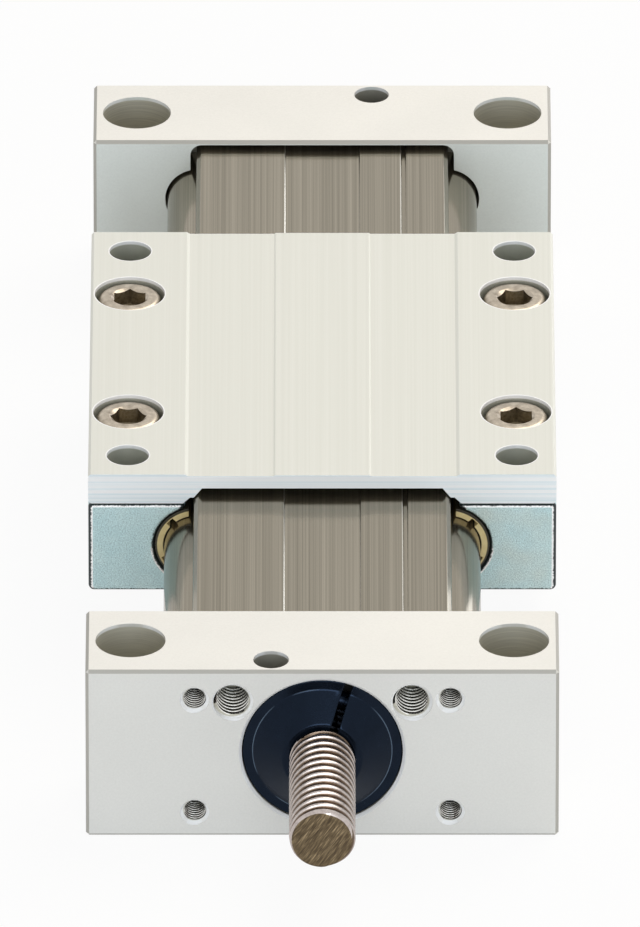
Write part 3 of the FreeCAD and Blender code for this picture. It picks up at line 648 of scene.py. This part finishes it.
for end in ENDS:
    dress(end + "_end_block", ANODISED_BLOCK, 0.15)
    dress(end + "_clamp_ring", BLACKENED, 0.2, clamp=False, sharp_deg=20)
    dress(end + "_ring_screw", BLACKENED, 0.15)
    dress(end + "_screw_bush", BUSH_POLYMER, 0.1)
for corner in CORNERS:
    dress("bearing_housing_" + corner, CHROMATED_ZINC, 0.8, clamp=False)
    dress("glide_liner_" + corner, LINER_POLYMER, 0.08)
dress("carriage_plate", ANODISED_PLATE, 0.08, sharp_deg=20)
dress("nut_carrier", ANODISED_CARRIER, 0.2)
dress("lead_nut", NUT_POLYMER, 0.15)
dress("nut_screws", STAINLESS, 0.08)
dress("guide_rail", HARD_ANODISED, 0.12)
print("dressed", sum(len(o.modifiers) > 0 for o in NODES.values()), "solids")

# %% [markdown]
# ## A helical thread
# A thread is one profile carried round and along the axis. The grid below holds the profile's points
# for every step of every turn, and the last point of one turn is the first of the next, so the surface
# has no seam. Both ends are then cut off flat and closed, and chamfers are shaped between extra cuts. A
# real right-hand thread rises with a turn from Z towards X about the Y axis.

# %% Thread builder
SHARP_ANGLE = math.radians(26)
SAME_PLACE = 1e-7
SPARE_TURNS = 3  # cut off again at the ends


def slice_grid(grid, y, side=1, clear=False):
    """Cuts a mesh across at a place along Y, and where asked clears what lies behind the cut."""
    everything = grid.verts[:] + grid.edges[:] + grid.faces[:]
    bmesh.ops.bisect_plane(grid, geom=everything, plane_co=(0, y, 0), plane_no=(0, side, 0),
                           clear_inner=clear)


def thread_mesh(name, profile, pitch, y0, y1, steps, shaped, smooth, cuts=()):
    """Closed threaded rod along Y from (offset, radius) points over one pitch; shaped(y, radius) trims it."""
    count = len(profile)
    turns = math.ceil((y1 - y0) / pitch) + SPARE_TURNS
    start = y0 - SPARE_TURNS / 2 * pitch
    grid = bmesh.new()
    rows = []
    for i in range(turns * steps + 1):
        angle = math.tau * i / steps
        row = []
        for offset, radius in profile:
            y = start + pitch * i / steps + offset
            row.append(grid.verts.new((radius * math.sin(angle), y, radius * math.cos(angle))))
        rows.append(row)
    for i in range(turns * steps):
        for j in range(count):
            if j + 1 < count:
                ring = (rows[i][j], rows[i + 1][j], rows[i + 1][j + 1], rows[i][j + 1])
            elif i + 1 + steps < len(rows):
                ring = (rows[i][j], rows[i + 1][j], rows[i + 1 + steps][0], rows[i + steps][0])
            else:
                continue
            grid.faces.new(ring)
    for y, side in ((y0, 1), (y1, -1)):
        slice_grid(grid, y, side, clear=True)
        bmesh.ops.edgeloop_fill(grid, edges=[e for e in grid.edges if e.is_boundary
                                             and all(abs(v.co.y - y) < SAME_PLACE for v in e.verts)])
    for y in cuts:
        slice_grid(grid, y)
    for vert in grid.verts:
        radius = math.hypot(vert.co.x, vert.co.z)
        scale = shaped(vert.co.y, radius) / radius
        vert.co = (vert.co.x * scale, vert.co.y, vert.co.z * scale)
    bmesh.ops.recalc_face_normals(grid, faces=grid.faces)
    mesh = bpy.data.meshes.new(name)
    grid.to_mesh(mesh)
    grid.free()
    mesh.polygons.foreach_set("use_smooth", [smooth] * len(mesh.polygons))
    if smooth:
        mesh.set_sharp_from_angle(angle=SHARP_ANGLE)
    return mesh


print("thread builder ready")

# %% [markdown]
# ## The lead screw
# The solid screw is a plain rod of the thread's outer size. The real one is a trapezoidal thread, 10 mm
# across with a pitch of 2 mm, flanks of 15 degrees and small rounded crest edges. It replaces the rod
# and turns with it. The free end in front is a little thicker, and both ends are chamfered. A turn of
# the whole thread sets where its groove runs out at the sawn tip.

# %% Threaded lead screw
PITCH = 2.0 * MM
CREST = 0.8 * MM
CREST_ROUND = 0.18 * MM
ROUND_STEP = 0.3 * CREST_ROUND
SCREW_STEPS = 48
FLANK_ANGLE = math.radians(15)
FLANK = THREAD_DEPTH * math.tan(FLANK_ANGLE)
RING_PLAY = 0.1 * MM
DRIVE_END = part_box("front_clamp_ring")[0].y - RING_PLAY
THREAD_TURN = math.radians(160)
RUN_OUT = 0.6 * MM
END_CUTS = [y for step in (TIP_CHAMFER, THREAD_DEPTH - RUN_OUT)
            for y in (SCREW_LOW.y + step, SCREW_HIGH.y - step)]
ROOT_R = SCREW_R - THREAD_DEPTH
ROOT_ROUND = 0.1 * MM
MIDDLE_R = SCREW_R - THREAD_DEPTH / 2
FOOT = 0.92 * FLANK
FOOT_RISE = 0.08 * MM
FOOT_R = ROOT_R + FOOT_RISE
SCREW_PROFILE = [(0.0, SCREW_R - CREST_ROUND), (ROUND_STEP, SCREW_R - ROUND_STEP),
                 (CREST_ROUND, SCREW_R), (CREST - CREST_ROUND, SCREW_R),
                 (CREST - ROUND_STEP, SCREW_R - ROUND_STEP), (CREST, SCREW_R - CREST_ROUND),
                 (CREST + FLANK / 2, MIDDLE_R), (CREST + FOOT, FOOT_R),
                 (CREST + FLANK + ROOT_ROUND, ROOT_R), (PITCH - FLANK - ROOT_ROUND, ROOT_R),
                 (PITCH - FOOT, FOOT_R), (PITCH - FLANK / 2, MIDDLE_R)]


def screw_shape(y, radius):
    """A thicker drive end, and at both ends a chamfer and a groove that runs out."""
    full = DRIVE_R if y < DRIVE_END else SCREW_R
    nearest = max(min(y - SCREW_LOW.y, SCREW_HIGH.y - y), 0.0)
    filled = max(radius + full - SCREW_R, full - RUN_OUT - nearest)
    return min(filled, full - TIP_CHAMFER + min(nearest, TIP_CHAMFER))


def new_piece(name, mesh, material, body, place=(0, 0, 0)):
    """Object in the scene that rides on a body."""
    piece = bpy.data.objects.new(name, mesh)
    piece.location = place
    bpy.context.scene.collection.objects.link(piece)
    mesh.materials.append(material)
    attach(piece, body)
    return piece


screw_mesh = thread_mesh("lead_screw_thread", SCREW_PROFILE, PITCH, SCREW_LOW.y, SCREW_HIGH.y, SCREW_STEPS,
                         screw_shape, True, END_CUTS)
screw_mesh.transform(Matrix.Rotation(THREAD_TURN, 4, "Y"))
screw = new_piece("lead_screw_thread", screw_mesh, ROLLED_SCREW, "screw", (0, 0, AXIS_Z))
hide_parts("lead_screw")
print("lead screw:", len(screw_mesh.polygons), "faces")

# %% [markdown]
# ## Tapped holes
# Each block has four M4 and two M6 holes in its outer face, which the solids have as plain core bores.
# A threaded cutter is sunk into each bore with a boolean modifier. The cutter's core is a hair wider
# than the bore, so that no two surfaces lie on each other, and its mouth widens to a chamfer. The
# holes' places come from the record's mounting patterns. The cutter brings along the finishes of crests
# and chamfer, and the painted shade of the roots.

# %% Threaded cutters
# pitch, outer radius and depth of each kind of thread
TAPS = {"flange": (0.7 * MM, 2.0 * MM, 8.4 * MM), "studs": (1.0 * MM, 3.0 * MM, 9.4 * MM)}
MOUTH = 0.32 * MM
TAP_STEPS = 32
TAP_START = -0.2 * MM
CORE_GAP = 0.02 * MM
CREST_SHARE = 0.2


def tap_profile(pitch, outer, core):
    """Sharp V thread with small flats, its outward flank in two parts."""
    near = core + 0.25 * (outer - core)
    return [(0.0, core), (0.22 * pitch, core), (0.55 * pitch, outer), (0.65 * pitch, outer),
            (0.92 * pitch, near)]


def tap_cutters(end):
    """One mesh with a threaded cutter for every tapped hole of a block."""
    bars = bmesh.new()
    for kind, (pitch, outer, depth) in TAPS.items():
        mount = MOUNTS[end + "_" + kind]
        core = mount["dims"]["hole_r_mm"] * MM + CORE_GAP
        mouth = outer + MOUTH
        bar = thread_mesh(end + kind, tap_profile(pitch, outer, core), pitch, TAP_START, depth, TAP_STEPS,
                          lambda y, radius: max(radius, min(mouth, mouth - y)), False)
        # The cutter's outer faces are the roots of the tapped thread and get the painted root shade; its
        # inner faces are the bare crests.
        for face in bar.polygons:
            radius = math.hypot(face.center.x, face.center.z)
            on_mouth = face.center.y < mouth - core
            face.material_index = 2 if on_mouth else int(radius > core + CREST_SHARE * (outer - core))
        inward = -Vector(mount["axis"]).y
        turn = Matrix.Identity(4) if inward > 0 else Matrix.Rotation(math.pi, 4, "Z")
        rise = mount["dims"].get("spacing_y_mm", 0.0) * MM / 2
        across = mount["dims"]["spacing_x_mm"] * MM / 2
        heights = {-rise, rise}  # only one where the pattern is a single row
        for x in (-across, across):
            for z in heights:
                moved = bar.copy()
                moved.transform(Matrix.Translation(Vector(mount["pos_m"]) + Vector((x, 0, z))) @ turn)
                bars.from_mesh(moved)
    mesh = bpy.data.meshes.new(end + "_tap_cutters")
    bars.to_mesh(mesh)
    bars.free()
    for material in (BARE_CREST, ROOT_SHADE, ANODISED_BLOCK):
        mesh.materials.append(material)
    return mesh


print("cutters for", " and ".join(TAPS))

# %% [markdown]
# ## Cutting the threads
# Each block gets one boolean modifier for all its holes. It comes before the shading, so that the cut
# edges are shaded like the rest. The cutters themselves stay hidden.

# %% Cut the threads
TAPS_PLACE = 3  # among a block's modifiers, before the shading
for end in ENDS:
    cutter = bpy.data.objects.new(end + "_tap_cutters", tap_cutters(end))
    bpy.context.scene.collection.objects.link(cutter)
    cutter.hide_render = True
    cutter.hide_viewport = True
    block = NODES[end + "_end_block"]
    cut = block.modifiers.new("taps", "BOOLEAN")
    cut.operation = "DIFFERENCE"
    cut.object = cutter
    cut.solver = "EXACT"
    cut.material_mode = "TRANSFER"
    block.modifiers.move(len(block.modifiers) - 1, TAPS_PLACE)
    print(end, "block:", len(cutter.data.polygons), "cutter faces")

# %% [markdown]
# ## Socket screws in the plate
# A low-head socket screw has a knurled side, a rounded upper edge, a hexagon socket with a turned
# lead-in, and a drill cone at the socket's floor. Rings of points at the same angles make all of it as
# one skin: circles outside, hexagons inside, and a lead-in where a circle becomes a hexagon. Screws
# never all stop at the same angle, so each keeps the turn of its solid's socket.

# %% Rings of a socket screw
STEPS = 96
KEY_WIDTH = 5.0 * MM
KEY_DEPTH = 2.7 * MM
SHANK_R = 3.0 * MM
HEAD_HEIGHT = 3.6 * MM
HEAD_ROUND = 0.85 * MM
KNURL = 0.12 * MM
EDGE_BREAK = 0.2 * MM
KNURL_END = 0.3 * MM
SHANK_CHAMFER = 0.6 * MM
LEAD_IN_WIDTH = 0.12 * MM
LEAD_IN_SLOPE = math.tan(math.radians(35))
CONE_R = 1.7 * MM
CONE_TIP_R = 0.4 * MM
FLOOR_EDGE = 0.12 * MM
CONE_TOP = 0.2 * MM
CONE_DEPTH = 0.7 * MM
ROUND_PARTS = 5
FLOOR_SHARE = 0.9


def screw_rings(head_r, length, turn):
    """Rings of the screw from its tip to the socket's floor: a (radius, height) pair for each step."""
    def circle(radius, height):
        return [(radius, height)] * STEPS

    def knurled(radius, height):
        return [(radius - (KNURL if k % 2 else 0.0), height) for k in range(STEPS)]

    def hexagon(scale, height):
        away = [math.radians((360 * k / STEPS - turn) % 60 - 30) for k in range(STEPS)]
        return [(scale * KEY_WIDTH / 2 / math.cos(a), height) for a in away]

    mouth = KEY_WIDTH / math.sqrt(3) + LEAD_IN_WIDTH
    lead_in = [(r, HEAD_HEIGHT - (mouth - r) * LEAD_IN_SLOPE) for r, _ in hexagon(1.0, 0.0)]
    floor = HEAD_HEIGHT - KEY_DEPTH
    top = HEAD_HEIGHT - HEAD_ROUND
    rings = [circle(SHANK_R - SHANK_CHAMFER, -length), circle(SHANK_R, SHANK_CHAMFER - length),
             circle(SHANK_R, 0.0), circle(head_r - EDGE_BREAK, 0.0), knurled(head_r, EDGE_BREAK),
             knurled(head_r, top - KNURL_END), circle(head_r, top)]
    for part in range(1, ROUND_PARTS + 1):
        a = math.pi / 2 * part / ROUND_PARTS
        rings.append(circle(head_r - HEAD_ROUND * (1 - math.cos(a)), top + HEAD_ROUND * math.sin(a)))
    return rings + [circle(mouth, HEAD_HEIGHT), lead_in, hexagon(1.0, floor),
                    hexagon(FLOOR_SHARE, floor - FLOOR_EDGE), circle(CONE_R, floor - CONE_TOP),
                    circle(CONE_TIP_R, floor - CONE_DEPTH)]


print("a ring has", STEPS, "steps")

# %% [markdown]
# ## Skin of the socket screws
# Faces join each ring to the next, and a face closes each end. From the lead-in down, the skin is
# painted dark, as painted shade. Every screw sits where its solid is, and replaces it.

# %% Detailed plate screws
KEY_TURNS = {"front_left": 0, "front_right": 30, "rear_left": 30, "rear_right": 0}
SOCKET_RINGS = 5  # from the lead-in down
HEAD_SHARP = math.radians(35)


def socket_screw(name, head_r, length, turn):
    skin = bmesh.new()
    loops = []
    for ring in screw_rings(head_r, length, turn):
        loop = []
        for k, (radius, height) in enumerate(ring):
            angle = math.tau * k / STEPS
            loop.append(skin.verts.new((radius * math.cos(angle), radius * math.sin(angle), height)))
        loops.append(loop)
    # From the lead-in down, the socket is painted dark, as painted shade.
    socket = len(loops) - SOCKET_RINGS
    for i, (low, high) in enumerate(zip(loops, loops[1:])):
        for k in range(STEPS):
            n = (k + 1) % STEPS
            skin.faces.new((low[k], low[n], high[n], high[k])).material_index = int(i >= socket)
    skin.faces.new(reversed(loops[0]))
    skin.faces.new(loops[-1]).material_index = 1
    mesh = bpy.data.meshes.new(name)
    skin.to_mesh(mesh)
    skin.free()
    mesh.polygons.foreach_set("use_smooth", [True] * len(mesh.polygons))
    mesh.set_sharp_from_angle(angle=HEAD_SHARP)
    return mesh


for corner in CORNERS:
    low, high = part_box("plate_screw_" + corner)
    seat = Vector(((low.x + high.x) / 2, (low.y + high.y) / 2, high.z - HEAD_HEIGHT))
    turn = KEY_TURNS[corner]
    mesh = socket_screw("socket_screw_" + corner, (high.x - low.x) / 2, seat.z - low.z, turn)
    piece = new_piece("socket_screw_" + corner, mesh, STAINLESS, "carriage", seat)
    mesh.materials.append(SOCKET_SHADE)
    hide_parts("plate_screw_" + corner)
print("four socket screws of", len(mesh.polygons), "faces")

# %% [markdown]
# ## Floor, light and background
# A product picture like this one has a white background and soft light from above, a little from the
# right. One large lamp overhead makes the tops bright, a weaker one in front lifts the end faces, a
# small one behind on the right catches the edges, and the world fills the rest. What the camera sees of
# world and floor is plain white, and so is what metal mirrors; the floor keeps a faint shadow.

# %% Floor
def white_for_sight(tree):
    """One for rays from the camera and from mirroring or clear surfaces, else zero."""
    light = add(tree, "ShaderNodeLightPath", {}, out=None)
    seen, mirrored, through = (light[f"Is {kind} Ray"] for kind in ("Camera", "Glossy", "Transmission"))
    first = add(tree, "ShaderNodeMath", {0: seen, 1: mirrored}, operation="MAXIMUM")
    return add(tree, "ShaderNodeMath", {0: first, 1: through}, operation="MAXIMUM")


FLOOR_HALF = 2.0
FLOOR_GAP = 0.05 * MM
FLOOR_WHITE = 0.93
floor_mesh = bpy.data.meshes.new("studio_floor")
floor_corners = [(-FLOOR_HALF, -FLOOR_HALF, 0), (FLOOR_HALF, -FLOOR_HALF, 0), (FLOOR_HALF, FLOOR_HALF, 0),
                 (-FLOOR_HALF, FLOOR_HALF, 0)]
floor_mesh.from_pydata(floor_corners, [], [(0, 1, 2, 3)])
floor = bpy.data.objects.new("studio_floor", floor_mesh)
floor.location.z = CAD_BOX[0].z - FLOOR_GAP
bpy.context.scene.collection.objects.link(floor)
paper, tree, matt, place = start_material("white_paper_matt", {"Roughness": 0.9})
fibre = spots(tree, place, 4.0)
pale = add(tree, "ShaderNodeValToRGB", {0: fibre}, stops=[(0.3, "#F0F0EE"), (0.7, "#F4F4F2")])
fill(tree, matt, {"Base Color": pale})
glow = add(tree, "ShaderNodeEmission", {"Color": "#FFFFFF", "Strength": 1.0})
share = add(tree, "ShaderNodeMath", {0: white_for_sight(tree), 1: FLOOR_WHITE}, operation="MULTIPLY")
mixed = add(tree, "ShaderNodeMixShader", {0: share, 1: matt.outputs[0], 2: glow})
fill(tree, tree.nodes["Material Output"], {"Surface": mixed})
floor_mesh.materials.append(paper)
print("floor at", round(floor.location.z / MM, 2), "mm")

# %% [markdown]
# ## World and lamps
# The world is white to the camera and in mirror images, and dimmer as a light. The lamps are square and
# large, so their shadows are soft.

# %% World and lamps
FILL = 0.45
world = bpy.data.worlds.new("studio")
bpy.context.scene.world = world
world.use_nodes = True
tree = world.node_tree
strength = add(tree, "ShaderNodeMapRange", {"Value": white_for_sight(tree), "To Min": FILL, "To Max": 1.0})
fill(tree, tree.nodes["Background"], {"Color": "#FFFFFF", "Strength": strength})


def softbox(name, place, aim, size, watts, colour):
    """Square area lamp that points at a place."""
    lamp = bpy.data.lights.new(name, "AREA")
    lamp.size = size
    lamp.energy = watts
    lamp.color = linear(colour)[:3]
    holder = bpy.data.objects.new(name, lamp)
    holder.location = place
    holder.rotation_euler = (Vector(aim) - Vector(place)).to_track_quat("-Z", "Y").to_euler()
    bpy.context.scene.collection.objects.link(holder)


softbox("overhead_softbox", place=(0.4, 0.45, 1.0), aim=(0, 0, 0), size=0.8, watts=6.6, colour="#FFF8EC")
softbox("front_fill", place=(0.05, -1.2, 0.3), aim=(0, 0, 0), size=0.6, watts=5.1, colour="#EAF3FC")
softbox("right_edge_light", place=(0.7, 1.3, 0.2), aim=(0, 0, AXIS_Z), size=0.4, watts=1.0, colour="#F4F8FF")

# %% [markdown]
# ## Camera
# The picture was taken from far off with a long lens: edges that run away from the camera hardly
# converge. The view is square on to the drive end, from 28 degrees above. A long lens on a standard
# sensor gives the same.

# %% Camera and view
AIM = Vector((-0.358, -3.815, AXIS_Z / MM)) * MM
DISTANCE = 4.5118
ELEVATION = math.radians(28.321)
FOCAL_MM = 1100
SENSOR_MM = 36
FARTHEST = 50.0
lens = bpy.data.cameras.new("camera")
lens.lens = FOCAL_MM
lens.sensor_width = SENSOR_MM
lens.clip_end = FARTHEST
camera = bpy.data.objects.new("camera", lens)
camera.location = AIM + DISTANCE * Vector((0, -math.cos(ELEVATION), math.sin(ELEVATION)))
camera.rotation_euler = (math.pi / 2 - ELEVATION, 0, 0)
bpy.context.scene.collection.objects.link(camera)
bpy.context.scene.camera = camera
bpy.context.scene.view_settings.view_transform = "Standard"
print("camera at", [round(v, 3) for v in camera.location])
